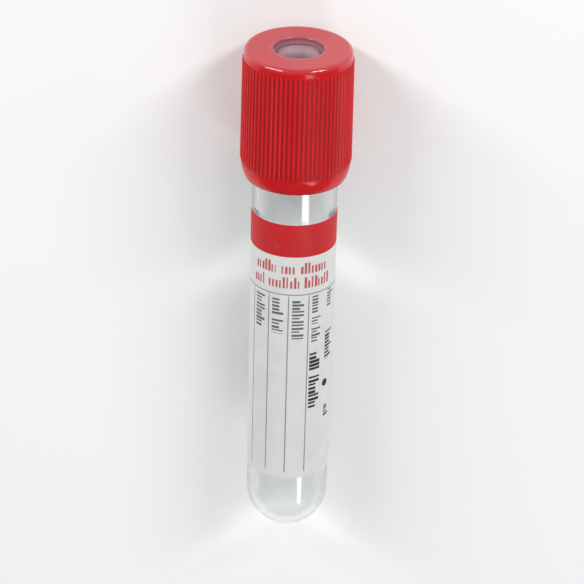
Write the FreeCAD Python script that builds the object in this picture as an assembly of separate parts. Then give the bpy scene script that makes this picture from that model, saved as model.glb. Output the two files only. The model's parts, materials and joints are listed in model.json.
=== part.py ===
import FreeCAD, Part
import math
import os

# Blood collection tube, lying at rest on its side: clear tube, label, rubber stopper and ribbed safety cap.
# Lengths are in millimetres and angles in degrees. Each piece is drawn upright, with the tube's round bottom at
# Z = 0 and its axis on +Z, and the whole is then laid down with the cap towards +X.

# Tube
tube_length = 75.0
tube_rim_diameter = 13.0        # outside, at the rim
tube_draft = 0.22               # how far the walls lean in towards the bottom
tube_wall = 1.0

# Rubber stopper
flange_diameter = 13.8
flange_thickness = 5.0
flange_edge_round = 0.4
seat_gap = 0.05                 # between the rim and the flange above it
plug_length = 8.5               # how far the stopper reaches into the tube
plug_clearance = 0.04           # radial, between the plug and the tube's bore
plug_lead_in = 1.4              # height of the cone at the plug's end
plug_lead_in_inset = 0.7
seal_groove_depth = 0.35
seal_groove_width = 0.9
dish_diameter = 6.1             # hollow in the top, which the needle pierces
dish_depth = 1.8
underside_hollow_diameter = 5.6
underside_hollow_depth = 7.4

# Safety cap
cap_height = 20.6
cap_top_wall = 1.1
cap_top_hole_diameter = 7.5
cap_hole_edge_round = 0.2
cap_root_diameter_top = 16.3    # under the ribs
cap_root_diameter_bottom = 16.5
cap_top_edge_round = 0.7
cap_cavity_clearance = 0.1      # radial, round the stopper's flange
cap_bead_height = 0.22          # inner ring under the flange
cap_bead_width = 1.1
cap_nose_height = 2.4           # rounded lower edge
cap_lip_width = 0.3             # flat left at the very bottom
cap_lip_chamfer = 0.35

# Ribs on the cap's skirt
rib_count = 72
rib_height = 0.16
rib_crest_width = 0.2
rib_root_width = 0.46
rib_top_margin = 1.2            # plain band under the cap's top face
rib_run_out = 0.5               # length over which a rib's end slopes away
rib_embed = 0.05                # how deep a rib's root starts inside the skirt, so that the two join

# Label
label_width = 20.8              # round the tube
label_length = 44.0
label_thickness = 0.1
label_corner_round = 0.8
label_below_skirt = 5.65        # clear tube seen between the skirt and the label
label_turn = 4.0                # how far the label's middle is turned off straight up


draft = math.radians(tube_draft)
rim_radius = tube_rim_diameter / 2
bottom_radius = (rim_radius * math.cos(draft) - tube_length * math.sin(draft)) / (1 - math.sin(draft))
flange_base_z = tube_length + seat_gap
flange_top_z = flange_base_z + flange_thickness
cap_top_z = flange_top_z + cap_top_wall
skirt_bottom_z = cap_top_z - cap_height
plug_end_z = flange_base_z - plug_length
cavity_radius = flange_diameter / 2 + cap_cavity_clearance
ribs_bottom_z = skirt_bottom_z + cap_nose_height
ribs_top_z = cap_top_z - rib_top_margin


def tube_radius(z):
    """Outside radius of the tube at a height above its rounded bottom."""
    return rim_radius - (tube_length - z) * math.tan(draft)


def plug_radius(z):
    """Radius of the stopper's plug, which follows the bore's lean."""
    return tube_radius(z) - tube_wall / math.cos(draft) - plug_clearance


def skirt_radius(z):
    """Outside radius of the cap's skirt at a height, without its ribs."""
    share = (z - skirt_bottom_z) / cap_height
    return (cap_root_diameter_bottom + share * (cap_root_diameter_top - cap_root_diameter_bottom)) / 2


def point(radius, z):
    return FreeCAD.Vector(radius, 0, z)


def arc_about(centre, start, end):
    """Arc from start to end the short way round centre; all three are (radius, z) pairs."""
    start_angle = math.atan2(start[1] - centre[1], start[0] - centre[0])
    end_angle = math.atan2(end[1] - centre[1], end[0] - centre[0])
    turn = (end_angle - start_angle + math.pi) % (2 * math.pi) - math.pi
    size = math.hypot(start[0] - centre[0], start[1] - centre[1])
    middle = start_angle + turn / 2
    through = (centre[0] + size * math.cos(middle), centre[1] + size * math.sin(middle))
    return Part.Arc(point(*start), point(*through), point(*end)).toShape()


def run(*places):
    """Straight edges through a row of (radius, z) pairs."""
    return [Part.makeLine(point(*a), point(*b)) for a, b in zip(places, places[1:])]


def spin(edges, angle=360.0):
    """Solid made by turning a closed outline about the Z axis."""
    face = Part.Face(Part.Wire(edges))
    return face.revolve(FreeCAD.Vector(0, 0, 0), FreeCAD.Vector(0, 0, 1), angle)


def make_tube():
    """Round-bottomed tube of even wall, whose rim is a half-round."""
    inner_radius = bottom_radius - tube_wall
    lean = (math.cos(draft), -math.sin(draft))
    centre = (0.0, bottom_radius)
    rim_centre_z = tube_length - tube_wall / 2
    rim_centre = (tube_radius(rim_centre_z) - tube_wall / 2 / math.cos(draft), rim_centre_z)

    def beside(place, distance):
        return (place[0] + distance * lean[0], place[1] + distance * lean[1])

    outer_foot = beside(centre, bottom_radius)
    inner_foot = beside(centre, inner_radius)
    outer_head = beside(rim_centre, tube_wall / 2)
    inner_head = beside(rim_centre, -tube_wall / 2)
    rim_top = (rim_centre[0] - tube_wall / 2 * lean[1], rim_centre[1] + tube_wall / 2 * lean[0])
    edges = [arc_about(centre, (0.0, 0.0), outer_foot)]
    edges += run(outer_foot, outer_head)
    edges += [arc_about(rim_centre, outer_head, rim_top), arc_about(rim_centre, rim_top, inner_head)]
    edges += run(inner_head, inner_foot)
    edges += [arc_about(centre, inner_foot, (0.0, tube_wall))]
    edges += run((0.0, tube_wall), (0.0, 0.0))
    return spin(edges)


def make_label():
    """Thin wrap on the tube's outside, with rounded corners."""
    top_z = skirt_bottom_z - label_below_skirt
    bottom_z = top_z - label_length
    inner_bottom = (tube_radius(bottom_z), bottom_z)
    inner_top = (tube_radius(top_z), top_z)
    outer_top = (inner_top[0] + label_thickness, top_z)
    outer_bottom = (inner_bottom[0] + label_thickness, bottom_z)
    wrap = math.degrees(label_width / tube_radius((top_z + bottom_z) / 2))
    label = spin(run(inner_bottom, inner_top, outer_top, outer_bottom, inner_bottom), wrap)
    corners = [edge for edge in label.Edges if edge.Length < label_thickness * 1.01]
    label = label.makeFillet(label_corner_round, corners)
    # the wrap starts at +X, and its middle is turned to face -X, which is up once the tube lies down
    label.rotate(FreeCAD.Vector(0, 0, 0), FreeCAD.Vector(0, 0, 1), 180 - wrap / 2 + label_turn)
    return label


def make_stopper():
    """Flange over the rim and a plug in the bore, dished on top and hollow below."""
    flange_radius = flange_diameter / 2
    body = spin(run(
        (0.0, plug_end_z),
        (plug_radius(plug_end_z) - plug_lead_in_inset, plug_end_z),
        (plug_radius(plug_end_z + plug_lead_in), plug_end_z + plug_lead_in),
        (plug_radius(flange_base_z), flange_base_z),
        (flange_radius, flange_base_z),
        (flange_radius, flange_top_z),
        (0.0, flange_top_z),
        (0.0, plug_end_z),
    ))
    rims = [edge for edge in body.Edges
            if edge.Closed and abs(edge.BoundBox.XMax - flange_radius) < flange_edge_round / 100]
    body = body.makeFillet(flange_edge_round, rims)

    groove_z = plug_end_z + (plug_length + plug_lead_in) / 2
    groove_floor = plug_radius(groove_z) - seal_groove_depth
    groove = spin(run(
        (groove_floor, groove_z - seal_groove_width / 2),
        (rim_radius, groove_z - seal_groove_width / 2 - (rim_radius - groove_floor)),
        (rim_radius, groove_z + seal_groove_width / 2 + (rim_radius - groove_floor)),
        (groove_floor, groove_z + seal_groove_width / 2),
        (groove_floor, groove_z - seal_groove_width / 2),
    ))

    dish_radius = dish_diameter / 2
    dish_sphere = (dish_radius ** 2 + dish_depth ** 2) / (2 * dish_depth)
    dish = Part.makeSphere(dish_sphere, point(0, flange_top_z - dish_depth + dish_sphere))

    hollow_radius = underside_hollow_diameter / 2
    hollow = Part.makeCylinder(hollow_radius, underside_hollow_depth - hollow_radius, point(0, plug_end_z))
    hollow_roof = Part.makeSphere(hollow_radius, point(0, plug_end_z + underside_hollow_depth - hollow_radius))
    return body.cut([groove, dish, hollow, hollow_roof])


def make_ribs():
    """Ring of straight ribs, each a trapezoid in section, whose ends slope into the skirt."""
    pitch = 2 * math.pi / rib_count

    def star(z):
        radius = skirt_radius(z)
        root = radius - rib_embed
        crest = radius + rib_height
        corners = []
        for k in range(rib_count):
            # half a pitch off, so that the cap lies on two ribs
            middle = (k + 0.5) * pitch
            for size, half_width in ((root, -rib_root_width), (crest, -rib_crest_width),
                                     (crest, rib_crest_width), (root, rib_root_width)):
                angle = middle + half_width / 2 / radius
                corners.append(FreeCAD.Vector(size * math.cos(angle), size * math.sin(angle), z))
        return Part.makePolygon(corners + corners[:1])

    bars = Part.makeLoft([star(ribs_bottom_z), star(ribs_top_z)], True, True)
    sunk = 2 * rib_embed
    envelope = spin(run(
        (0.0, ribs_bottom_z),
        (skirt_radius(ribs_bottom_z) - sunk, ribs_bottom_z),
        (skirt_radius(ribs_bottom_z) + rib_height, ribs_bottom_z + rib_run_out),
        (skirt_radius(ribs_bottom_z) + 2 * rib_height, ribs_bottom_z + rib_run_out),
        (skirt_radius(ribs_top_z) + 2 * rib_height, ribs_top_z - rib_run_out),
        (skirt_radius(ribs_top_z) + rib_height, ribs_top_z - rib_run_out),
        (skirt_radius(ribs_top_z) - sunk, ribs_top_z),
        (0.0, ribs_top_z),
        (0.0, ribs_bottom_z),
    ))
    core = Part.makeCylinder(cavity_radius + sunk, cap_height, point(0, skirt_bottom_z))
    return bars.common(envelope).cut(core)


def make_cap():
    """Cap with a holed top wall, an inner bead under the stopper's flange, and a ribbed skirt."""
    hole_radius = cap_top_hole_diameter / 2
    shoulder_z = cap_top_z - cap_top_edge_round
    shoulder = skirt_radius(shoulder_z)
    nose_z = ribs_bottom_z
    nose = skirt_radius(nose_z)
    lip_inner = cavity_radius + cap_lip_chamfer
    lip_outer = lip_inner + cap_lip_width
    nose_inset = nose - lip_outer
    nose_bend = (nose_inset ** 2 + cap_nose_height ** 2) / (2 * nose_inset)
    bead_top_z = flange_base_z - flange_edge_round
    bead_middle_z = bead_top_z - cap_bead_width / 2
    bead_bottom_z = bead_top_z - cap_bead_width
    hole_arc_z = cap_top_z - cap_hole_edge_round

    edges = run((hole_radius, flange_top_z), (hole_radius, hole_arc_z))
    edges += [arc_about((hole_radius + cap_hole_edge_round, hole_arc_z), (hole_radius, hole_arc_z),
                        (hole_radius + cap_hole_edge_round, cap_top_z))]
    edges += run((hole_radius + cap_hole_edge_round, cap_top_z), (shoulder - cap_top_edge_round, cap_top_z))
    edges += [arc_about((shoulder - cap_top_edge_round, shoulder_z), (shoulder - cap_top_edge_round, cap_top_z),
                        (shoulder, shoulder_z))]
    edges += run((shoulder, shoulder_z), (nose, nose_z))
    edges += [arc_about((nose - nose_bend, nose_z), (nose, nose_z), (lip_outer, skirt_bottom_z))]
    edges += run((lip_outer, skirt_bottom_z), (lip_inner, skirt_bottom_z),
                 (cavity_radius, skirt_bottom_z + cap_lip_chamfer), (cavity_radius, bead_bottom_z))
    edges += [Part.Arc(point(cavity_radius, bead_bottom_z), point(cavity_radius - cap_bead_height, bead_middle_z),
                       point(cavity_radius, bead_top_z)).toShape()]
    edges += run((cavity_radius, bead_top_z), (cavity_radius, flange_top_z), (hole_radius, flange_top_z))
    return spin(edges).fuse(make_ribs()).removeSplitter()


def lean_at_rest():
    """Angle between the tube's axis and the floor, lying on the cap's lowest ribs and on the round bottom."""
    contact_z = ribs_bottom_z + rib_run_out
    crest = skirt_radius(contact_z) + rib_height
    crest_corner = math.pi / rib_count - rib_crest_width / 2 / crest
    resting_radius = crest * math.cos(crest_corner)
    reach = contact_z - bottom_radius
    return math.atan2(resting_radius, reach) - math.asin(bottom_radius / math.hypot(reach, resting_radius))


def lay_down(shape):
    """Turn an upright piece so that the cap points along +X and the whole rests on Z = 0, centred on its box."""
    lean = lean_at_rest()
    shape = shape.copy()
    shape.translate(FreeCAD.Vector(0, 0, -bottom_radius))
    shape.rotate(FreeCAD.Vector(0, 0, 0), FreeCAD.Vector(0, 1, 0), 90 - math.degrees(lean))
    edge_reach = cap_top_z - cap_top_edge_round - bottom_radius
    edge_radius = skirt_radius(cap_top_z - cap_top_edge_round) - cap_top_edge_round
    front = edge_reach * math.cos(lean) + edge_radius * math.sin(lean) + cap_top_edge_round
    shape.translate(FreeCAD.Vector((bottom_radius - front) / 2, 0, bottom_radius))
    return shape


os.makedirs("parts", exist_ok=True)
pieces = {
    "tube": make_tube(),
    "label": make_label(),
    "rubber_stopper": make_stopper(),
    "safety_cap": make_cap(),
}
for name, piece in pieces.items():
    lay_down(piece).exportStep("parts/" + name + ".step")
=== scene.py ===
import json
import math

import bpy
import numpy as np
from mathutils import Matrix, Vector


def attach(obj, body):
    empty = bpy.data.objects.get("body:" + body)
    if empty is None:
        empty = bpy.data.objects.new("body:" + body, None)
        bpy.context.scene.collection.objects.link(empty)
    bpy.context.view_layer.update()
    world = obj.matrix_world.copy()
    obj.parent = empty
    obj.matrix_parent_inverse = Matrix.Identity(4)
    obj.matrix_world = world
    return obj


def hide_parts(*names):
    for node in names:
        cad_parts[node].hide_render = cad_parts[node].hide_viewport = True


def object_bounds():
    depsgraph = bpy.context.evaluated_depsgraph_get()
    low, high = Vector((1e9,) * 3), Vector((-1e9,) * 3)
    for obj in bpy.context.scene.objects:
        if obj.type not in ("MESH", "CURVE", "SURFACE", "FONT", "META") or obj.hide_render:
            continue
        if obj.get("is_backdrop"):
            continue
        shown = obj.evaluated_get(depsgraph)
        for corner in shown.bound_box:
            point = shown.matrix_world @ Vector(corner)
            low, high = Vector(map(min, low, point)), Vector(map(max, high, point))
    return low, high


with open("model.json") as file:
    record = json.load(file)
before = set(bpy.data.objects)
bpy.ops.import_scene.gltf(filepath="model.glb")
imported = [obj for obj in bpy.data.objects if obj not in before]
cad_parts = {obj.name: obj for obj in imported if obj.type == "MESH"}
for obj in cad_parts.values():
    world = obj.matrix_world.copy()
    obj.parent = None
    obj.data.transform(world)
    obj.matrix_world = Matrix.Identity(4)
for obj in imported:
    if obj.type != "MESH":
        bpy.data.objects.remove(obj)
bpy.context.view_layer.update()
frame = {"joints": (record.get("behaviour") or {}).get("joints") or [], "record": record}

# Blood collection tube, lying on its side. Sizes are millimetres, measured on the upright tube:
# heights run up its axis from the round bottom, radii out from the axis.
# An angle round the tube is 0 straight up and grows towards +Y.

inMetre = 1000  # millimetres
alongTube = np.array(frame["joints"][0]["axis"])
alongTube = alongTube / np.linalg.norm(alongTube)
acrossTube = np.array([0.0, 1.0, 0.0])
overTube = np.cross(alongTube, acrossTube)
needleHoleHeight = 80.6  # the mount sits half way through the cap's top wall
needleHole = next(mount for mount in frame["record"]["mounts"] if mount["name"] == "needle_hole")
tubeFoot = inMetre * np.array(needleHole["pos_m"]) - needleHoleHeight * alongTube


def layDown(radius, height, angle):
    # place = foot + height along the axis + radius towards the angle, in metres
    outward = np.cos(angle)[..., None] * overTube + np.sin(angle)[..., None] * acrossTube
    return (tubeFoot + height[..., None] * alongTube + radius[..., None] * outward) / inMetre


def straight(start, end, steps):
    # even steps from start towards end, with the end left to the next stretch
    share = np.arange(steps)[:, None] / steps
    return np.array(start) + share * (np.array(end) - np.array(start))


def bend(middle, size, fromAngle, toAngle, steps):
    # arc of radius size about the middle, angles in degrees, with the end left to the next stretch
    turn = np.radians(fromAngle + (toAngle - fromAngle) * np.arange(steps) / steps)
    return np.column_stack((middle[0] + size * np.cos(turn), middle[1] + size * np.sin(turn)))


def gridPiece(name, points, uv, closeRows, closeColumns, sharpAngle):
    # quads over a rows by columns grid; points in one place become one vertex,
    # and a quad that loses a side becomes a triangle
    weldDigits = 9
    rows, columns = points.shape[:2]
    places, ids = np.unique(np.round(points.reshape(-1, 3), weldDigits) + 0.0, axis=0, return_inverse=True)
    ids = ids.reshape(rows, columns)
    row = np.arange(rows if closeRows else rows - 1)[:, None]
    column = np.arange(columns if closeColumns else columns - 1)[None, :]
    corners, cornerUv = [], []
    for down, right in ((0, 0), (0, 1), (1, 1), (1, 0)):
        corners.append(ids[(row + down) % rows, (column + right) % columns])
        cornerUv.append(uv[row + down, column + right])
    quads = np.stack(corners, axis=-1).reshape(-1, 4)
    quadUv = np.stack(cornerUv, axis=-2).reshape(-1, 4, 2)
    # the sum of the corner products is six times the volume, and is negative when the faces point in
    a, b, c, d = (places[quads[:, i]] for i in range(4))
    volume = np.einsum("ij,ij->i", a, np.cross(b, c)).sum() + np.einsum("ij,ij->i", a, np.cross(c, d)).sum()
    if volume < 0:
        quads, quadUv = quads[:, ::-1], quadUv[:, ::-1]
    # a corner that repeats the one before it is dropped, and a face needs three
    keep = quads != np.roll(quads, 1, axis=1)
    whole = keep.sum(axis=1) > 2
    quads, quadUv, keep = quads[whole], quadUv[whole], keep[whole]
    counts = keep.sum(axis=1)
    mesh = bpy.data.meshes.new(name)
    mesh.vertices.add(len(places))
    mesh.vertices.foreach_set("co", places.astype(np.float32).ravel())
    mesh.loops.add(int(counts.sum()))
    mesh.loops.foreach_set("vertex_index", quads[keep].astype(np.int32))
    mesh.polygons.add(len(quads))
    mesh.polygons.foreach_set("loop_start", (np.cumsum(counts) - counts).astype(np.int32))
    mesh.polygons.foreach_set("use_smooth", np.ones(len(quads), dtype=bool))
    layer = mesh.uv_layers.new(name="millimetres")
    layer.data.foreach_set("uv", quadUv[keep].astype(np.float32).ravel())
    mesh.update(calc_edges=True)
    mesh.validate()
    mesh.set_sharp_from_angle(angle=math.radians(sharpAngle))
    piece = bpy.data.objects.new(name, mesh)
    bpy.context.scene.collection.objects.link(piece)
    return piece


def evenAngles(count):
    # so many angles, evenly round the tube
    return np.linspace(0, 2 * math.pi, count, endpoint=False)


def turnedPiece(name, profile, angles, closed, rise=0, sharpAngle=35):
    # a (radius, height) profile turned about the tube's axis; rise adds to the radius at each row and angle.
    # On its map, x is the angle times the largest radius and y the distance travelled along the profile.
    radius = profile[:, :1] + np.zeros(len(angles)) + rise
    height = profile[:, 1:] + np.zeros(len(angles))
    points = layDown(radius, height, angles[None, :] + np.zeros((len(profile), 1)))
    steps = np.linalg.norm(np.diff(profile, axis=0, append=profile[:1]), axis=1)
    travelled = np.concatenate(([0], np.cumsum(steps)))[:len(profile) + closed]
    around = np.append(angles, angles[0] + 2 * math.pi) * profile[:, 0].max()
    uv = np.stack(np.broadcast_arrays(around[None, :], travelled[:, None]), axis=-1)
    return gridPiece(name, points, uv, closed, True, sharpAngle)


def fillSockets(tree, made, sockets):
    # a socket is linked, and anything else is the value
    for key, value in sockets.items():
        if isinstance(value, bpy.types.NodeSocket):
            tree.links.new(value, made.inputs[key])
        else:
            made.inputs[key].default_value = value


def put(tree, kind, sockets=None, **settings):
    made = tree.nodes.new("ShaderNode" + kind)
    for name, value in settings.items():
        setattr(made, name, value)
    fillSockets(tree, made, sockets or {})
    return made


def maths(tree, operation, *values):
    return put(tree, "Math", dict(enumerate(values)), operation=operation).outputs[0]


def times(tree, first, second):
    return maths(tree, "MULTIPLY", first, second)


def plus(tree, first, second):
    return maths(tree, "ADD", first, second)


def minus(tree, first, second):
    return maths(tree, "SUBTRACT", first, second)


def ramp(tree, value, low, high, start=0.0, end=1.0):
    # runs smoothly from start at low to end at high, and low may be the larger
    sockets = {"Value": value, "From Min": low, "From Max": high, "To Min": start, "To Max": end}
    return put(tree, "MapRange", sockets, interpolation_type="SMOOTHSTEP").outputs[0]


def blendColour(tree, share, first, second):
    # sockets 0, 6 and 7 of Mix are its factor and its two colours, and output 2 is the colour
    return put(tree, "Mix", {0: share, 6: first, 7: second}, data_type="RGBA").outputs[2]


def bumpNormal(tree, height, distance):
    return put(tree, "Bump", {"Height": height, "Distance": distance / inMetre, "Strength": 1.0}).outputs[0]


def axesOf(tree, vector):
    return put(tree, "SeparateXYZ", {0: vector}).outputs


def ownMap(tree):
    return put(tree, "UVMap", uv_map="millimetres").outputs[0]


def startGroup(name, entries, results):
    tree = bpy.data.node_groups.new(name, "ShaderNodeTree")
    for label, kind, value in entries:
        socket = tree.interface.new_socket(label, in_out="INPUT", socket_type="NodeSocket" + kind)
        if value is not None:
            socket.default_value = value
    for label in results:
        tree.interface.new_socket(label, in_out="OUTPUT", socket_type="NodeSocketFloat")
    enter = tree.nodes.new("NodeGroupInput")
    leave = tree.nodes.new("NodeGroupOutput")
    return tree, enter.outputs, leave.inputs


def useGroup(tree, group, sockets):
    made = tree.nodes.new("ShaderNodeGroup")
    made.node_tree = group
    fillSockets(tree, made, sockets)
    return made.outputs


def startMaterial(name):
    # place is the spot on the piece in millimetres
    material = bpy.data.materials.new(name)
    material.use_nodes = True
    tree = material.node_tree
    tree.nodes.clear()
    output = tree.nodes.new("ShaderNodeOutputMaterial")
    spot = put(tree, "TexCoord").outputs["Object"]
    place = put(tree, "Mapping", {"Vector": spot, "Scale": (inMetre, inMetre, inMetre)}).outputs[0]
    return material, tree, output, place


grainLook = {
    "fineDetail": 3.0, "fineRoughness": 0.6, "slowDetail": 2.0, "slowRoughness": 0.5,
    "driftLow": 0.3, "driftHigh": 0.7,
}


def makeGrainGroup(s):
    # fine even grain of a moulded or pressed face, and the slow drift of its tone
    entries = [("Place", "Vector", None), ("Grain Size", "Float", 0.3), ("Drift Size", "Float", 4.0)]
    tree, enter, leave = startGroup("fineGrain", entries, ["Grain", "Drift"])
    fine = put(tree, "TexNoise", {
        "Vector": enter["Place"], "Scale": maths(tree, "DIVIDE", 1.0, enter["Grain Size"]),
        "Detail": s["fineDetail"], "Roughness": s["fineRoughness"]})
    slow = put(tree, "TexNoise", {
        "Vector": enter["Place"], "Scale": maths(tree, "DIVIDE", 1.0, enter["Drift Size"]),
        "Detail": s["slowDetail"], "Roughness": s["slowRoughness"]})
    tree.links.new(fine.outputs[0], leave["Grain"])
    tree.links.new(ramp(tree, slow.outputs[0], s["driftLow"], s["driftHigh"]), leave["Drift"])
    return tree


handlingLook = {
    "scuffTurns": (0.3, 1.4, 2.5), "scuffLean": 0.7, "scuffStretch": 0.06, "scuffDetail": 4.0,
    "scuffRoughness": 0.7, "scuffLow": 0.62, "scuffHigh": 0.74,
    "speckEdge": 0.16, "speckCore": 0.05, "emptyCells": 0.86,
}


def makeHandlingGroup(s):
    # what packing and handling leave: hair scuffs in all directions and specks of dust, both sparse
    entries = [("Place", "Vector", None), ("Scuff Size", "Float", 2.0), ("Speck Size", "Float", 0.5)]
    tree, enter, leave = startGroup("handlingMarks", entries, ["Scuff", "Speck"])
    size = maths(tree, "DIVIDE", 1.0, enter["Scuff Size"])
    scuffs = []
    for turn in s["scuffTurns"]:
        # noise stretched along one turned axis
        turned = put(tree, "Mapping", {
            "Vector": enter["Place"], "Rotation": (turn, s["scuffLean"] * turn, turn),
            "Scale": (1.0, s["scuffStretch"], 1.0)}).outputs[0]
        lines = put(tree, "TexNoise", {
            "Vector": turned, "Scale": size, "Detail": s["scuffDetail"], "Roughness": s["scuffRoughness"]})
        scuffs.append(ramp(tree, lines.outputs[0], s["scuffLow"], s["scuffHigh"]))
    most = maths(tree, "MAXIMUM", maths(tree, "MAXIMUM", scuffs[0], scuffs[1]), scuffs[2])
    tree.links.new(most, leave["Scuff"])
    # one round speck in a cell, and most cells stay empty
    specks = put(tree, "TexVoronoi", {
        "Vector": enter["Place"], "Scale": maths(tree, "DIVIDE", 1.0, enter["Speck Size"]),
        "Randomness": 1.0})
    here = ramp(tree, specks.outputs["Distance"], s["speckEdge"], s["speckCore"])
    chance = put(tree, "SeparateColor", {0: specks.outputs["Color"]}).outputs[0]
    tree.links.new(times(tree, here, maths(tree, "GREATER_THAN", chance, s["emptyCells"])), leave["Speck"])
    return tree


fineGrain = makeGrainGroup(grainLook)
handlingMarks = makeHandlingGroup(handlingLook)


def useGrain(tree, place, s):
    sockets = {"Place": place, "Grain Size": s["grainSize"], "Drift Size": s["driftSize"]}
    return useGroup(tree, fineGrain, sockets)


def useMarks(tree, place, s):
    sockets = {"Place": place, "Scuff Size": s["scuffSize"], "Speck Size": s["speckSize"]}
    return useGroup(tree, handlingMarks, sockets)


safetyCap = {
    "bottom": 60.55, "top": 81.15, "topWall": 1.1, "topRound": 0.7, "holeRadius": 3.75, "holeRound": 0.2,
    "rootRadiusBottom": 8.25, "rootRadiusTop": 8.15, "noseHeight": 2.4, "lipInner": 7.35, "lipOuter": 7.65,
    "cavityRadius": 7.0, "beadTop": 74.65, "beadWidth": 1.1, "beadHeight": 0.22,
    # ribs: sizes of one, how its edges soften in shares of its flank and height, and how its ends run out
    "ribs": 72, "ribHeight": 0.16, "ribSunk": 0.1, "ribCrest": 0.2, "ribRoot": 0.46,
    "ribSoftWidth": 0.12, "ribSoftHeight": 0.09, "ribTopMargin": 1.2, "ribRunOut": 0.5,
    "ribRunOutRow": 0.7, "ribRowMargin": 1.5, "ribRows": 12,
    "colour": (0.68, 0.004, 0.008, 1), "deepColour": (0.565, 0.002, 0.004, 1), "deepShare": 0.5,
    "dustColour": (0.75, 0.30, 0.29, 1), "speckShare": 0.16, "scuffShare": 0.04,
    "grainSize": 0.22, "driftSize": 5.0, "scuffSize": 1.6, "speckSize": 0.9,
    # painted reflection on the top face: its colour, share, gap before the ribs and fade
    "topReflectionColour": (0.26, 0.06, 0.08, 1), "topReflectionShare": 0.32, "reflectionGap": 0.3, "reflectionFade": 0.6,
    # painted shade on the hole's wall: its colour, paler at its foot, strength, reach, and where its foot
    # starts and ends
    "holeShadeColour": (0.400, 0.110, 0.140, 1), "holeFootShadeColour": (0.470, 0.270, 0.310, 1), "holeShade": 0.90,
    "holeShadeWidth": 0.50, "holeFootLow": 0.15, "holeFootHigh": 0.75,
    # painted shade in the rib valleys: its colour, strength, and where it starts and is full
    "valleyShadeColour": (0.27, 0.001, 0.002, 1), "valleyShade": 0.75, "valleyStart": 0.23, "valleyFull": 0.37,
    "roughness": 0.15, "ribRoughness": 0.40, "roughGrain": 0.08, "roughScuff": 0.14, "ribFade": 0.3,
    "ior": 1.49, "gloss": 0.32, "topShine": 0.55, "shineBefore": 0.1, "shineAfter": 0.3, "grainBump": 0.004,
}


def skirtRadius(height):
    # straight from the root radius at the bottom to the one at the top
    s = safetyCap
    share = (height - s["bottom"]) / (s["top"] - s["bottom"])
    return s["rootRadiusBottom"] + share * (s["rootRadiusTop"] - s["rootRadiusBottom"])


def makeCap(s):
    # one closed profile is turned: hole, top, shoulder, skirt, nose, lip, cavity with its bead, and ceiling.
    # Each rib adds to the skirt's radius: its section round the cap times its run-out up the cap.
    ceiling = s["top"] - s["topWall"]
    holeEdge = s["holeRadius"] + s["holeRound"]
    shoulderHeight = s["top"] - s["topRound"]
    shoulder = skirtRadius(shoulderHeight)
    ribsTop = s["top"] - s["ribTopMargin"]
    ribsBottom = s["bottom"] + s["noseHeight"]
    nose = skirtRadius(ribsBottom)
    # the nose and the bead are arcs, each found from its width and its height
    noseInset = nose - s["lipOuter"]
    noseSize = (noseInset ** 2 + s["noseHeight"] ** 2) / (2 * noseInset)
    noseAngle = math.degrees(math.asin(s["noseHeight"] / noseSize))
    noseSteps = 9
    beadSize = (s["beadWidth"] ** 2 / 4 + s["beadHeight"] ** 2) / (2 * s["beadHeight"])
    beadMiddle = s["beadTop"] - s["beadWidth"] / 2
    beadAngle = math.degrees(math.asin(s["beadWidth"] / 2 / beadSize))
    beadCentre = s["cavityRadius"] - s["beadHeight"] + beadSize
    chamferTop = s["bottom"] + s["lipInner"] - s["cavityRadius"]
    # rows where a rib's end slopes away, then even rows between the two ends
    surfacing = s["ribSunk"] / (s["ribHeight"] + s["ribSunk"])
    slope = s["ribRunOut"] * np.array([0, surfacing, s["ribRunOutRow"], 1])
    evenRows = np.linspace(ribsTop - s["ribRowMargin"], ribsBottom + s["ribRowMargin"], s["ribRows"])
    ribRows = np.concatenate((ribsTop - slope, evenRows, (ribsBottom + slope)[::-1]))
    profile = np.concatenate((
        straight((s["holeRadius"], ceiling), (s["holeRadius"], s["top"] - s["holeRound"]), 3),
        bend((holeEdge, s["top"] - s["holeRound"]), s["holeRound"], 180, 90, 5),
        straight((holeEdge, s["top"]), (shoulder - s["topRound"], s["top"]), 6),
        bend((shoulder - s["topRound"], shoulderHeight), s["topRound"], 90, 0, 9),
        [(shoulder, shoulderHeight)],
        np.column_stack((skirtRadius(ribRows), ribRows)),
        bend((nose - noseSize, ribsBottom), noseSize, -noseAngle / noseSteps, -noseAngle, noseSteps - 1),
        straight((s["lipOuter"], s["bottom"]), (s["lipInner"], s["bottom"]), 2),
        straight((s["lipInner"], s["bottom"]), (s["cavityRadius"], chamferTop), 2),
        straight((s["cavityRadius"], chamferTop), (s["cavityRadius"], s["beadTop"] - s["beadWidth"]), 6),
        bend((beadCentre, beadMiddle), beadSize, 180 + beadAngle, 180 - beadAngle, 8),
        straight((s["cavityRadius"], s["beadTop"]), (s["cavityRadius"], ceiling), 3),
        straight((s["cavityRadius"], ceiling), (s["holeRadius"], ceiling), 4),
    ))
    # across one rib: valley, soft foot, flank, soft crest and the same back, in shares of the rib's height
    pitch = 2 * math.pi / s["ribs"]
    foot, crest = s["ribRoot"] / 2 / nose, s["ribCrest"] / 2 / nose
    soft = s["ribSoftWidth"] * (foot - crest)
    offsets = np.array([-pitch / 2, -foot - soft, -foot + soft, -crest - soft, -crest + soft])
    offsets = np.concatenate((offsets, -offsets[:0:-1]))
    low, high = s["ribSoftHeight"], 1 - s["ribSoftHeight"]
    across = np.array([0, 0, low, high, 1, 1, high, low, 0])
    middles = (np.arange(s["ribs"]) + 0.5) * pitch
    angles = (middles[:, None] + offsets).ravel()
    # a rib's end slopes from under the skirt to the full height over the run-out
    fromEnd = np.minimum(ribsTop - profile[:, 1], profile[:, 1] - ribsBottom)
    outside = (profile[:, 0] > s["lipOuter"]) & (fromEnd > 0)
    sloped = -s["ribSunk"] + (s["ribHeight"] + s["ribSunk"]) * fromEnd / s["ribRunOut"]
    rowRise = np.where(outside, np.clip(sloped, 0, s["ribHeight"]), 0)
    return turnedPiece("cap_shell", profile, angles, True, rise=rowRise[:, None] * np.tile(across, s["ribs"]))


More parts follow.
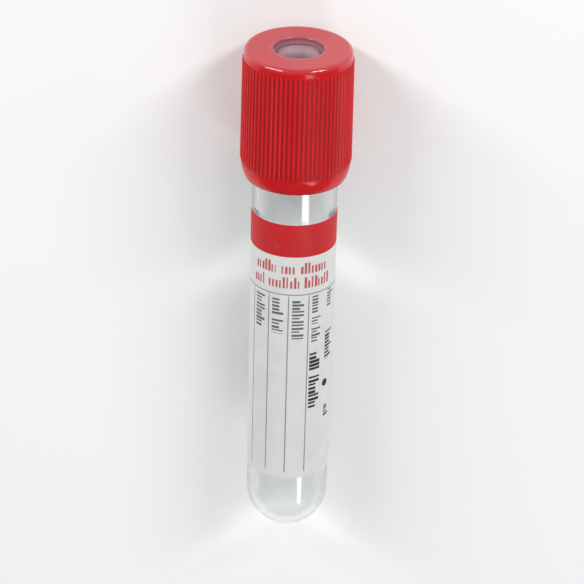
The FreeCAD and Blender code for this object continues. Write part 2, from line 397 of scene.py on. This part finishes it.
def makeCapMaterial(s):
    # distance along the section from the hole's foot: up its wall, over its edge, across the top,
    # round the shoulder and down the skirt
    holeTop = s["topWall"] + (math.pi / 2 - 1) * s["holeRound"]
    topEnd = holeTop + s["rootRadiusTop"] - s["topRound"] - s["holeRadius"] - s["holeRound"]
    ribsStart = topEnd + s["topRound"] * math.pi / 2 + s["ribTopMargin"] - s["topRound"]
    ribsEnd = ribsStart + s["top"] - s["ribTopMargin"] - s["bottom"] - s["noseHeight"]
    material, tree, output, place = startMaterial("mouldedRedPlastic")
    around, section = axesOf(tree, ownMap(tree))[:2]
    grain = useGrain(tree, place, s)
    marks = useMarks(tree, place, s)
    colour = blendColour(tree, times(tree, grain["Drift"], s["deepShare"]), s["colour"], s["deepColour"])
    colour = blendColour(tree, times(tree, marks["Speck"], s["speckShare"]), colour, s["dustColour"])
    colour = blendColour(tree, times(tree, marks["Scuff"], s["scuffShare"]), colour, s["dustColour"])
    # painted reflection lightens the top to a pale pink that stops at the shoulder
    reflectionEnd = ribsStart - s["reflectionGap"]
    onTop = ramp(tree, section, reflectionEnd, reflectionEnd - s["reflectionFade"])
    colour = blendColour(tree, times(tree, onTop, s["topReflectionShare"]), colour, s["topReflectionColour"])
    # painted shade darkens the hole's wall, greyer towards its foot, and dies away just past its edge
    holeShaded = ramp(tree, section, holeTop + s["holeShadeWidth"], holeTop - s["holeRound"])
    atFoot = ramp(tree, section, s["holeFootHigh"], s["holeFootLow"])
    holeShadeTone = blendColour(tree, atFoot, s["holeShadeColour"], s["holeFootShadeColour"])
    colour = blendColour(tree, times(tree, holeShaded, s["holeShade"]), colour, holeShadeTone)
    # the ribs come duller from the mould than the top and the nose
    ribbed = times(tree, ramp(tree, section, ribsStart - s["ribFade"], ribsStart + s["ribRunOut"]),
                   ramp(tree, section, ribsEnd + s["ribRunOut"], ribsEnd - s["ribFade"]))
    # painted shade deepens the valleys; a rib's crest is half a pitch round from each valley's middle
    ribPitch = 2 * math.pi / s["ribs"] * skirtRadius(s["bottom"] + s["noseHeight"])
    fromValley = maths(tree, "FRACT", maths(tree, "DIVIDE", around, ribPitch))
    fromCrest = maths(tree, "ABSOLUTE", minus(tree, fromValley, 0.5))
    valley = times(tree, ribbed, ramp(tree, fromCrest, s["valleyStart"], s["valleyFull"]))
    colour = blendColour(tree, times(tree, valley, s["valleyShade"]), colour, s["valleyShadeColour"])
    least = s["roughness"] - s["roughGrain"] / 2
    ribLeast = s["ribRoughness"] - s["roughGrain"] / 2
    rough = ramp(tree, ribbed, 0.0, 1.0, least, ribLeast)
    rough = plus(tree, rough, times(tree, grain["Grain"], s["roughGrain"]))
    rough = plus(tree, rough, times(tree, marks["Scuff"], s["roughScuff"]))
    # the top is glossy and its shoulder glossier
    shine = ramp(tree, section, topEnd - s["shineBefore"], topEnd + s["shineAfter"], s["topShine"], 1.0)
    shader = put(tree, "BsdfPrincipled", {
        "Base Color": colour, "Roughness": rough, "IOR": s["ior"], "Specular IOR Level": s["gloss"],
        "Coat Weight": times(tree, onTop, shine), "Coat Roughness": s["roughness"],
        "Normal": bumpNormal(tree, grain["Grain"], s["grainBump"])})
    tree.links.new(shader.outputs[0], output.inputs[0])
    return material


print("safety cap")
capShell = makeCap(safetyCap)
capShell.data.materials.append(makeCapMaterial(safetyCap))
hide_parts("safety_cap")
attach(capShell, "closure")


clearTube = {
    "length": 75.0, "rimRadius": 6.5, "draft": 0.22, "wall": 1.0, "columns": 256,
    # gate mark: a dimple in the bottom, and how steep its edge is
    "gateRadius": 0.9, "gateDepth": 0.09, "gateSteepness": 4,
    "tint": (0.975, 0.98, 0.98, 1), "dustColour": (0.8, 0.8, 0.78, 1), "speckShare": 0.25,
    "grainSize": 3.0, "driftSize": 9.0, "scuffSize": 1.1, "speckSize": 1.3,
    "roughness": 0.03, "roughDrift": 0.02, "roughScuff": 0.10, "ior": 1.57, "ripple": 0.006,
    "depthColour": (0.60, 0.66, 0.66, 1), "depthDensity": 120, "shadowTint": (0.93, 0.94, 0.94, 1),
}


def tubeRadius(height):
    # the outside narrows by the draft from the rim down
    s = clearTube
    return s["rimRadius"] - (s["length"] - height) * math.tan(math.radians(s["draft"]))


def makeTube(s):
    # the outside's leaning straight runs into a dome; the inside keeps the wall's thickness from it
    # all the way, and a half round joins them at the rim
    lean = math.radians(s["draft"])
    outerDome = (s["rimRadius"] * math.cos(lean) - s["length"] * math.sin(lean)) / (1 - math.sin(lean))
    innerDome = outerDome - s["wall"]
    half = s["wall"] / 2
    rimHeight = s["length"] - half
    rimMiddle = tubeRadius(rimHeight) - half / math.cos(lean)

    def beside(radius, height, distance):
        return (radius + distance * math.cos(lean), height - distance * math.sin(lean))

    outerFoot, outerHead = beside(0, outerDome, outerDome), beside(rimMiddle, rimHeight, half)
    innerFoot, innerHead = beside(0, outerDome, innerDome), beside(rimMiddle, rimHeight, -half)
    profile = np.concatenate((
        bend((0, outerDome), outerDome, -90, -s["draft"], 48),
        straight(outerFoot, outerHead, 24),
        bend((rimMiddle, rimHeight), half, -s["draft"], 180 - s["draft"], 14),
        straight(innerHead, innerFoot, 24),
        bend((0, outerDome), innerDome, -s["draft"], -90, 40),
        [(0, s["wall"])],
    ))
    profile[0, 0] = 0
    # only the outside of the bottom takes the gate mark
    dimple = s["gateDepth"] * np.exp(-(profile[:, 0] / s["gateRadius"]) ** s["gateSteepness"])
    profile[:, 1] += np.where(profile[:, 1] < s["wall"] / 2, dimple, 0)
    return turnedPiece("tube_wall", profile, evenAngles(s["columns"]), False)


def makeTubeMaterial(s):
    material, tree, output, place = startMaterial("clearMouldedPlastic")
    grain = useGrain(tree, place, s)
    marks = useMarks(tree, place, s)
    rough = plus(tree, s["roughness"], times(tree, grain["Drift"], s["roughDrift"]))
    rough = plus(tree, rough, times(tree, marks["Scuff"], s["roughScuff"]))
    colour = blendColour(tree, times(tree, marks["Speck"], s["speckShare"]), s["tint"], s["dustColour"])
    shader = put(tree, "BsdfPrincipled", {
        "Base Color": colour, "Roughness": rough, "IOR": s["ior"], "Transmission Weight": 1.0,
        "Normal": bumpNormal(tree, grain["Grain"], s["ripple"])})
    # lamps reach what is behind the wall
    clear = put(tree, "BsdfTransparent", {"Color": s["shadowTint"]})
    shadow = put(tree, "LightPath").outputs["Is Shadow Ray"]
    mixed = put(tree, "MixShader", {0: shadow, 1: shader.outputs[0], 2: clear.outputs[0]})
    tree.links.new(mixed.outputs[0], output.inputs[0])
    # the plastic greys with depth, which draws the outline and the thick round bottom
    depth = put(tree, "VolumeAbsorption", {"Color": s["depthColour"], "Density": s["depthDensity"]})
    tree.links.new(depth.outputs[0], output.inputs[1])
    return material


print("clear tube")
tubeWall = makeTube(clearTube)
tubeWall.data.materials.append(makeTubeMaterial(clearTube))
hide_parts("tube")
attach(tubeWall, "tube_body")


rubberStopper = {
    "plugEnd": 66.55, "plugTop": 75.05, "flangeTop": 80.05, "flangeRadius": 6.9, "flangeRound": 0.4,
    "clearance": 0.04, "leadIn": 1.4, "leadInset": 0.7, "grooveHeight": 71.5, "grooveDepth": 0.35,
    "grooveWidth": 0.9, "dishRadius": 3.05, "dishDepth": 1.8, "hollowRadius": 2.8, "hollowDepth": 7.4,
    "lipWidth": 0.16, "moatWidth": 0.75, "moatDepth": 0.30, "columns": 192,
    "colour": (0.420, 0.275, 0.300, 1), "deepColour": (0.350, 0.228, 0.250, 1),
    "dustColour": (0.60, 0.50, 0.52, 1), "speckShare": 0.5, "scuffShare": 0.18,
    "grainSize": 0.12, "driftSize": 1.8, "scuffSize": 1.2, "speckSize": 0.35,
    # shade on the dish's floor: how strong, full up to so far from the middle, and gone by so far
    "floorColour": (0.120, 0.072, 0.082, 1), "floorShade": 0.76, "floorFull": 1.95, "floorGone": 3.15,
    # shade in the moat: how strong, how many of its widths it takes, and how it fades
    "moatShadeColour": (0.300, 0.150, 0.175, 1), "moatShade": 0.60, "moatReach": 1.9, "moatFade": 0.3,
    "roughness": 0.52, "roughGrain": 0.16, "ior": 1.52, "grainBump": 0.012,
}


def dishSphere(s):
    # radius of the sphere that the dish is cut with: (radius squared + depth squared) / (2 depth)
    return (s["dishRadius"] ** 2 + s["dishDepth"] ** 2) / (2 * s["dishDepth"])


def makeStopper(s):
    # one profile from the dish's middle out over the flange, down the plug and up its hollow, turned
    lean = math.radians(clearTube["draft"])

    def plug(height):
        return tubeRadius(height) - clearTube["wall"] / math.cos(lean) - s["clearance"]

    dishSize = dishSphere(s)
    dishMiddle = s["flangeTop"] - s["dishDepth"] + dishSize
    dishAngle = math.degrees(math.asin(s["dishRadius"] / dishSize))
    # a shallow moat, an ellipse in section, sets the dish's lip off from the flange
    lipOuter = s["dishRadius"] + s["lipWidth"]
    moatMiddle = lipOuter + s["moatWidth"] / 2
    moatShare = 2 * s["moatDepth"] / s["moatWidth"]
    flat = s["flangeRadius"] - s["flangeRound"]
    flangeHigh, flangeLow = s["flangeTop"] - s["flangeRound"], s["plugTop"] + s["flangeRound"]
    roofHeight = s["plugEnd"] + s["hollowDepth"] - s["hollowRadius"]
    leadTop = s["plugEnd"] + s["leadIn"]
    grooveFloor = plug(s["grooveHeight"]) - s["grooveDepth"]
    upper, lower = s["grooveHeight"] + s["grooveWidth"] / 2, s["grooveHeight"] - s["grooveWidth"] / 2
    grooveUp = (plug(upper + s["grooveDepth"]), upper + s["grooveDepth"])
    grooveDown = (plug(lower - s["grooveDepth"]), lower - s["grooveDepth"])
    plugFoot = (plug(s["plugEnd"]) - s["leadInset"], s["plugEnd"])
    profile = np.concatenate((
        bend((0, dishMiddle), dishSize, -90, -90 + dishAngle, 24),
        straight((s["dishRadius"], s["flangeTop"]), (lipOuter, s["flangeTop"]), 2),
        bend((moatMiddle, s["flangeTop"]), s["moatWidth"] / 2, 180, 360, 16) * (1, moatShare)
        + (0, s["flangeTop"] * (1 - moatShare)),
        straight((lipOuter + s["moatWidth"], s["flangeTop"]), (flat, s["flangeTop"]), 5),
        bend((flat, flangeHigh), s["flangeRound"], 90, 0, 6),
        straight((s["flangeRadius"], flangeHigh), (s["flangeRadius"], flangeLow), 3),
        bend((flat, flangeLow), s["flangeRound"], 0, -90, 6),
        straight((flat, s["plugTop"]), (plug(s["plugTop"]), s["plugTop"]), 2),
        straight((plug(s["plugTop"]), s["plugTop"]), grooveUp, 4),
        straight(grooveUp, (grooveFloor, upper), 2),
        straight((grooveFloor, upper), (grooveFloor, lower), 2),
        straight((grooveFloor, lower), grooveDown, 2),
        straight(grooveDown, (plug(leadTop), leadTop), 4),
        straight((plug(leadTop), leadTop), plugFoot, 3),
        straight(plugFoot, (s["hollowRadius"], s["plugEnd"]), 3),
        straight((s["hollowRadius"], s["plugEnd"]), (s["hollowRadius"], roofHeight), 6),
        bend((0, roofHeight), s["hollowRadius"], 0, 90, 16),
        [(0, s["plugEnd"] + s["hollowDepth"])],
    ))
    profile[0, 0] = 0
    return turnedPiece("stopper_body", profile, evenAngles(s["columns"]), False)


def makeStopperMaterial(s):
    # distance along the section from the dish's middle: out over the dish, its lip and the moat
    dishEdge = dishSphere(s) * math.asin(s["dishRadius"] / dishSphere(s))
    moatEnd = dishEdge + s["lipWidth"] + s["moatReach"] * s["moatWidth"]
    material, tree, output, place = startMaterial("greyRubber")
    section = axesOf(tree, ownMap(tree))[1]
    grain = useGrain(tree, place, s)
    marks = useMarks(tree, place, s)
    colour = blendColour(tree, grain["Drift"], s["colour"], s["deepColour"])
    colour = blendColour(tree, times(tree, marks["Speck"], s["speckShare"]), colour, s["dustColour"])
    colour = blendColour(tree, times(tree, marks["Scuff"], s["scuffShare"]), colour, s["dustColour"])
    # painted shade darkens the dish's floor and the moat; the slope between stays pale
    onFloor = ramp(tree, section, s["floorGone"], s["floorFull"])
    inMoat = times(tree, ramp(tree, section, dishEdge - s["moatFade"], dishEdge + s["moatFade"] / 2),
                   ramp(tree, section, moatEnd + s["moatFade"], moatEnd))
    colour = blendColour(tree, times(tree, onFloor, s["floorShade"]), colour, s["floorColour"])
    colour = blendColour(tree, times(tree, inMoat, s["moatShade"]), colour, s["moatShadeColour"])
    rough = plus(tree, s["roughness"], times(tree, grain["Grain"], s["roughGrain"]))
    shader = put(tree, "BsdfPrincipled", {
        "Base Color": colour, "Roughness": rough, "IOR": s["ior"],
        "Normal": bumpNormal(tree, grain["Grain"], s["grainBump"])})
    tree.links.new(shader.outputs[0], output.inputs[0])
    return material


print("rubber stopper")
stopperBody = makeStopper(rubberStopper)
stopperBody.data.materials.append(makeStopperMaterial(rubberStopper))
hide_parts("rubber_stopper")
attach(stopperBody, "closure")


wrapLabel = {
    "top": 54.9, "length": 44.0, "width": 20.8, "turn": -4.0, "cornerRound": 0.8, "cornerSteps": 10,
    "gap": 0.015, "thickness": 0.08, "columns": 128, "rows": 120, "sharpAngle": 50, "backShift": 30,
    "paper": (0.88, 0.885, 0.865, 1), "paperShade": (0.835, 0.84, 0.825, 1),
    "scuffColour": (0.55, 0.55, 0.53, 1), "scuffShare": 0.06,
    "red": (0.62, 0.016, 0.021, 1), "softRed": (0.56, 0.085, 0.095, 1),
    "grey": (0.12, 0.12, 0.13, 1), "black": (0.012, 0.012, 0.014, 1), "inkFull": 1.03, "inkWear": 0.10,
    "grainSize": 0.16, "driftSize": 3.0, "scuffSize": 1.4,
    "roughness": 0.43, "roughGrain": 0.12, "ior": 1.48, "gloss": 0.25, "glow": 0.45, "glowReach": 0.40,
    "fibreBump": 0.004, "waveBump": 0.015,
    # each kind of printed line, its ink, and how strong the ink is
    "inks": [("ruleLines", "grey", 0.80), ("smallLines", "grey", 1.0), ("boldLines", "black", 1.0),
             ("titleLines", "softRed", 1.0), ("bandLines", "red", 1.02)],
    # each line: left, right, top, bottom, pitch of its strokes, inked share, raggedness, 1 if it runs down
    "bandLines": [(-1, 22, -1, 5.4, 50, 1, 0, 0)],
    "titleLines": [
        (3.9, 7.4, 6.35, 8.25, 0.56, 0.76, 1, 0), (8.3, 10.4, 6.35, 8.25, 0.56, 0.76, 1, 0),
        (11.2, 15.7, 6.35, 8.25, 0.56, 0.76, 1, 0),
        (3.5, 5.4, 8.80, 10.70, 0.56, 0.76, 1, 0), (6.3, 11.0, 8.80, 10.70, 0.56, 0.76, 1, 0),
        (11.8, 16.2, 8.80, 10.70, 0.56, 0.76, 1, 0)],
    "ruleLines": [
        (0.9, 19.9, 11.72, 11.90, 50, 1, 0, 0), (3.20, 3.38, 11.9, 42.9, 50, 1, 0, 0),
        (6.30, 6.48, 11.9, 42.9, 50, 1, 0, 0), (9.40, 9.58, 11.9, 42.9, 50, 1, 0, 0),
        (12.50, 12.68, 11.9, 42.9, 50, 1, 0, 0)],
    "smallLines": [
        (3.85, 5.65, 12.6, 18.4, 0.58, 0.76, 1, 1), (6.95, 8.75, 12.6, 15.4, 0.58, 0.76, 1, 1),
        (6.95, 8.75, 16.2, 18.6, 0.58, 0.76, 1, 1), (10.05, 11.85, 12.8, 19.4, 0.58, 0.76, 1, 1),
        (13.15, 14.75, 12.3, 15.3, 0.52, 0.76, 1, 1), (13.15, 14.75, 16.0, 17.2, 0.52, 0.76, 1, 1),
        (13.15, 14.75, 17.9, 20.5, 0.52, 0.76, 1, 1), (16.1, 17.7, 12.1, 15.2, 0.52, 0.76, 1, 1)],
    "boldLines": [
        (12.95, 14.85, 22.2, 25.4, 0.64, 0.86, 1, 1), (12.95, 14.85, 26.3, 31.8, 0.64, 0.86, 1, 1),
        (15.9, 17.8, 19.3, 24.2, 0.60, 0.84, 1, 1), (16.1, 17.5, 32.4, 34.4, 0.50, 0.80, 1, 1)],
    "dot": (16.2, 28.3, 0.62), "dotEdge": 0.04,  # across, down and radius
}


def makeLabel(s):
    # a sheet bent round the tube: rows run down it and columns across,
    # and near its ends each row is shorter by the corner's round
    corner = s["cornerRound"]
    ends = corner * (1 - np.cos(np.linspace(0, math.pi / 2, s["cornerSteps"])))
    middle = np.linspace(corner, s["length"] - corner, s["rows"])[1:-1]
    down = np.concatenate((ends, middle, (s["length"] - ends)[::-1]))
    short = np.clip(corner - np.minimum(down, s["length"] - down), 0, corner)
    inset = corner - np.sqrt(corner ** 2 - short ** 2)
    across = np.linspace(0, 1, s["columns"])
    x = inset[:, None] + across[None, :] * (s["width"] - 2 * inset)[:, None]
    y = down[:, None] + np.zeros_like(x)
    middleRadius = tubeRadius(s["top"] - s["length"] / 2)
    angle = math.radians(s["turn"]) + (s["width"] / 2 - x) / middleRadius
    height = s["top"] - y
    inner = layDown(tubeRadius(height) + s["gap"], height, angle)
    outer = layDown(tubeRadius(height) + s["gap"] + s["thickness"], height, angle)
    # each row is a loop, out over the face and back under it
    loop = np.concatenate((outer, inner[:, ::-1]), axis=1)
    # the first and last rows close it along the middle of its thickness
    core = np.concatenate(((outer + inner) / 2, ((outer + inner) / 2)[:, ::-1]), axis=1)
    loop = np.concatenate((core[:1], loop, core[-1:]))
    # the back's share of the map lies beside the front's, where nothing is printed
    flat = np.stack((x, y), axis=-1)
    flat = np.concatenate((flat, flat[:, ::-1] + (s["backShift"], 0), flat[:, :1]), axis=1)
    flat = np.concatenate((flat[:1], flat, flat[-1:]))
    return gridPiece("label_sheet", loop, flat, False, True, s["sharpAngle"])


strokeLook = {
    "shortStrokes": 0.70, "shortBy": 0.34, "thinBy": 0.45,  # share of short strokes, and what is taken off
    "lineFade": 0.03, "strokeFadeIn": 0.06, "strokeFadeOut": 0.10,  # soft edges
    "leftSeed": 7.3, "topSeed": 3.7,  # set each line's strokes apart from the next line's
}


def makeLineGroup(s):
    # ink of one printed line: plain upright strokes at an even pitch, each with its own height and width
    tree, enter, leave = startGroup("printedLine", [
        ("Place", "Vector", None), ("Left", "Float", 0.0), ("Right", "Float", 1.0), ("Top", "Float", 0.0),
        ("Bottom", "Float", 1.0), ("Pitch", "Float", 1.0), ("Weight", "Float", 1.0), ("Ragged", "Float", 0.0),
        ("Runs Down", "Float", 0.0)], ["Ink"])

    def pick(level, upright):
        # the first on a level line, the second on one that runs down
        return put(tree, "Mix", {0: enter["Runs Down"], 2: level, 3: upright}, data_type="FLOAT").outputs[0]

    across, down = axesOf(tree, enter["Place"])[:2]
    fromLeft = minus(tree, across, enter["Left"])
    toRight = minus(tree, enter["Right"], across)
    fromTop = minus(tree, down, enter["Top"])
    toBottom = minus(tree, enter["Bottom"], down)
    inside = maths(tree, "MINIMUM", maths(tree, "MINIMUM", fromLeft, toRight),
                   maths(tree, "MINIMUM", fromTop, toBottom))
    height = pick(plus(tree, fromTop, toBottom), plus(tree, fromLeft, toRight))
    level = maths(tree, "DIVIDE", pick(toBottom, fromLeft), height)
    strokes = maths(tree, "DIVIDE", pick(fromLeft, fromTop), enter["Pitch"])
    share = maths(tree, "FRACT", strokes)
    seed = plus(tree, maths(tree, "FLOOR", strokes), times(tree, enter["Left"], s["leftSeed"]))
    seed = plus(tree, seed, times(tree, enter["Top"], s["topSeed"]))
    noise = put(tree, "TexWhiteNoise", {"W": seed}, noise_dimensions="1D")
    chance = put(tree, "SeparateColor", {0: noise.outputs["Color"]}).outputs
    # most strokes stop at two thirds of the line's height, and a few rise to all of it
    isShort = maths(tree, "LESS_THAN", chance[0], s["shortStrokes"])
    reach = minus(tree, 1.0, times(tree, isShort, times(tree, enter["Ragged"], s["shortBy"])))
    thinner = times(tree, chance[1], times(tree, enter["Ragged"], s["thinBy"]))
    width = times(tree, enter["Weight"], minus(tree, 1.0, thinner))
    ink = times(tree, ramp(tree, minus(tree, width, share), -s["strokeFadeIn"], s["strokeFadeOut"]),
                ramp(tree, inside, -s["lineFade"], s["lineFade"]))
    ink = times(tree, ink, ramp(tree, minus(tree, reach, level), -s["lineFade"], s["lineFade"]))
    tree.links.new(ink, leave["Ink"])
    return tree


def makeLabelMaterial(s):
    material, tree, output, place = startMaterial("printedLabel")
    onLabel = ownMap(tree)
    printedLine = makeLineGroup(strokeLook)

    def inkOf(lines):
        total = None
        for left, right, top, bottom, pitch, weight, ragged, down in lines:
            ink = useGroup(tree, printedLine, {
                "Place": onLabel, "Left": left, "Right": right, "Top": top, "Bottom": bottom, "Pitch": pitch,
                "Weight": weight, "Ragged": ragged, "Runs Down": down})[0]
            total = ink if total is None else maths(tree, "MAXIMUM", total, ink)
        return total

    grain = useGrain(tree, place, s)
    marks = useGroup(tree, handlingMarks, {"Place": place, "Scuff Size": s["scuffSize"]})
    colour = blendColour(tree, grain["Drift"], s["paper"], s["paperShade"])
    worn = minus(tree, s["inkFull"], times(tree, grain["Grain"], s["inkWear"]))
    for lines, ink, strength in s["inks"]:
        share = times(tree, inkOf(s[lines]), times(tree, worn, strength))
        colour = blendColour(tree, share, colour, s[ink])
    dotX, dotY, dotRadius = s["dot"]
    fromDot = put(tree, "VectorMath", {0: onLabel, 1: (dotX, dotY, 0)}, operation="DISTANCE").outputs["Value"]
    onDot = ramp(tree, fromDot, dotRadius + s["dotEdge"], dotRadius - s["dotEdge"])
    colour = blendColour(tree, onDot, colour, s["black"])
    colour = blendColour(tree, times(tree, marks["Scuff"], s["scuffShare"]), colour, s["scuffColour"])
    rough = plus(tree, s["roughness"], times(tree, grain["Grain"], s["roughGrain"]))
    # heights of the paper's face in millimetres: its fibres, and its slow waves
    fibres = times(tree, grain["Grain"], s["fibreBump"])
    face = plus(tree, fibres, times(tree, grain["Drift"], s["waveBump"]))
    shader = put(tree, "BsdfPrincipled", {
        "Base Color": colour, "Roughness": rough, "IOR": s["ior"], "Specular IOR Level": s["gloss"],
        "Subsurface Weight": s["glow"], "Subsurface Scale": s["glowReach"] / inMetre,
        "Subsurface Radius": (1, 1, 1), "Normal": bumpNormal(tree, face, 1)})
    tree.links.new(shader.outputs[0], output.inputs[0])
    return material


print("label")
labelSheet = makeLabel(wrapLabel)
labelSheet.data.materials.append(makeLabelMaterial(wrapLabel))
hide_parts("label")
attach(labelSheet, "tube_body")


studio = {
    "floorSize": 6.0, "floorColour": (0.84, 0.84, 0.84, 1), "floorRoughness": 0.5, "floorLift": 0.15,
    "grainSize": 0.6, "floorGrain": 0.08, "worldLight": 0.370,
    # each lamp: name, place, the point its long side runs towards, long and short side, power
    "lamps": [
        ("keyLamp", (0.415, 0.395, 0.284), (0.333, 0.574, 0.056), (0.34, 0.045), 2.0),
        ("sideLamp", (0.414, -0.345, 0.307), (0.282, -0.847, -0.075), (0.26, 0.045), 1.6),
        ("sheenLamp", (-0.27, -0.27, 0.46), (-0.27, -0.27, 0.0), (0.30, 0.11), 0.65)],
    "cameraTilt": 28.2, "cameraRoll": 1.6, "cameraDistance": 0.6, "cameraLens": 243,
    "cameraNear": 0.01, "cameraFar": 20,
}


def makeFloor(s):
    half = s["floorSize"] / 2
    corners = [(-half, -half, 0), (half, -half, 0), (half, half, 0), (-half, half, 0)]
    mesh = bpy.data.meshes.new("floor")
    mesh.from_pydata(corners, [], [(0, 1, 2, 3)])
    floor = bpy.data.objects.new("floor", mesh)
    bpy.context.scene.collection.objects.link(floor)
    material, tree, output, place = startMaterial("paleTable")
    diffuse = put(tree, "BsdfDiffuse", {"Color": s["floorColour"], "Roughness": s["floorRoughness"]})
    # a faint glow lifts the floor where it is seen, also in gloss and through the clear wall
    paths = put(tree, "LightPath").outputs
    seen = plus(tree, paths["Is Camera Ray"], paths["Is Glossy Ray"])
    seen = maths(tree, "MINIMUM", plus(tree, seen, paths["Is Transmission Ray"]), 1.0)
    grain = useGroup(tree, fineGrain, {"Place": place, "Grain Size": s["grainSize"]})
    tone = plus(tree, 1 - s["floorGrain"] / 2, times(tree, grain["Grain"], s["floorGrain"]))
    glow = put(tree, "Emission", {"Color": tone, "Strength": times(tree, seen, s["floorLift"])})
    both = put(tree, "AddShader", {0: diffuse.outputs[0], 1: glow.outputs[0]})
    tree.links.new(both.outputs[0], output.inputs[0])
    mesh.materials.append(material)
    floor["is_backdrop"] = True


def makeWorld(s):
    world = bpy.data.worlds.new("studio")
    bpy.context.scene.world = world
    world.use_nodes = True
    tree = world.node_tree
    tree.nodes.clear()
    shade = put(tree, "Background", {"Color": (1, 1, 1, 1), "Strength": s["worldLight"]})
    put(tree, "OutputWorld", {0: shade.outputs[0]})


def makeLamp(name, place, runsTo, size, power):
    # a soft strip that faces the tube; its long side runs towards the point runsTo
    lamp = bpy.data.lights.new(name, "AREA")
    lamp.shape = "RECTANGLE"
    lamp.size, lamp.size_y = size
    lamp.energy = power
    holder = bpy.data.objects.new(name, lamp)
    bpy.context.scene.collection.objects.link(holder)
    back = Vector(place).normalized()
    side = Vector(runsTo) - Vector(place)
    side = (side - back * side.dot(back)).normalized()
    turn = Matrix((side, back.cross(side), back)).transposed()
    holder.matrix_world = Matrix.Translation(place) @ turn.to_4x4()


def makeCamera(s):
    # stands over the middle of the box, leaning towards the cap by the tilt
    low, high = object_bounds()
    middle = (low + high) / 2
    tilt = math.radians(s["cameraTilt"])
    along, over = Vector(alongTube), Vector(overTube)
    back = (along * math.sin(tilt) + over * math.cos(tilt)).normalized()
    up = (along - back * along.dot(back)).normalized()
    right = up.cross(back)
    roll = Matrix.Rotation(math.radians(s["cameraRoll"]), 3, "Z")
    turn = Matrix((right, up, back)).transposed() @ roll
    data = bpy.data.cameras.new("camera")
    data.lens = s["cameraLens"]
    data.clip_start, data.clip_end = s["cameraNear"], s["cameraFar"]
    camera = bpy.data.objects.new("camera", data)
    bpy.context.scene.collection.objects.link(camera)
    camera.matrix_world = Matrix.Translation(middle + back * s["cameraDistance"]) @ turn.to_4x4()
    bpy.context.scene.camera = camera


print("studio")
makeFloor(studio)
makeWorld(studio)
for lampValues in studio["lamps"]:
    makeLamp(*lampValues)
makeCamera(studio)
bpy.context.scene.view_settings.view_transform = "Standard"
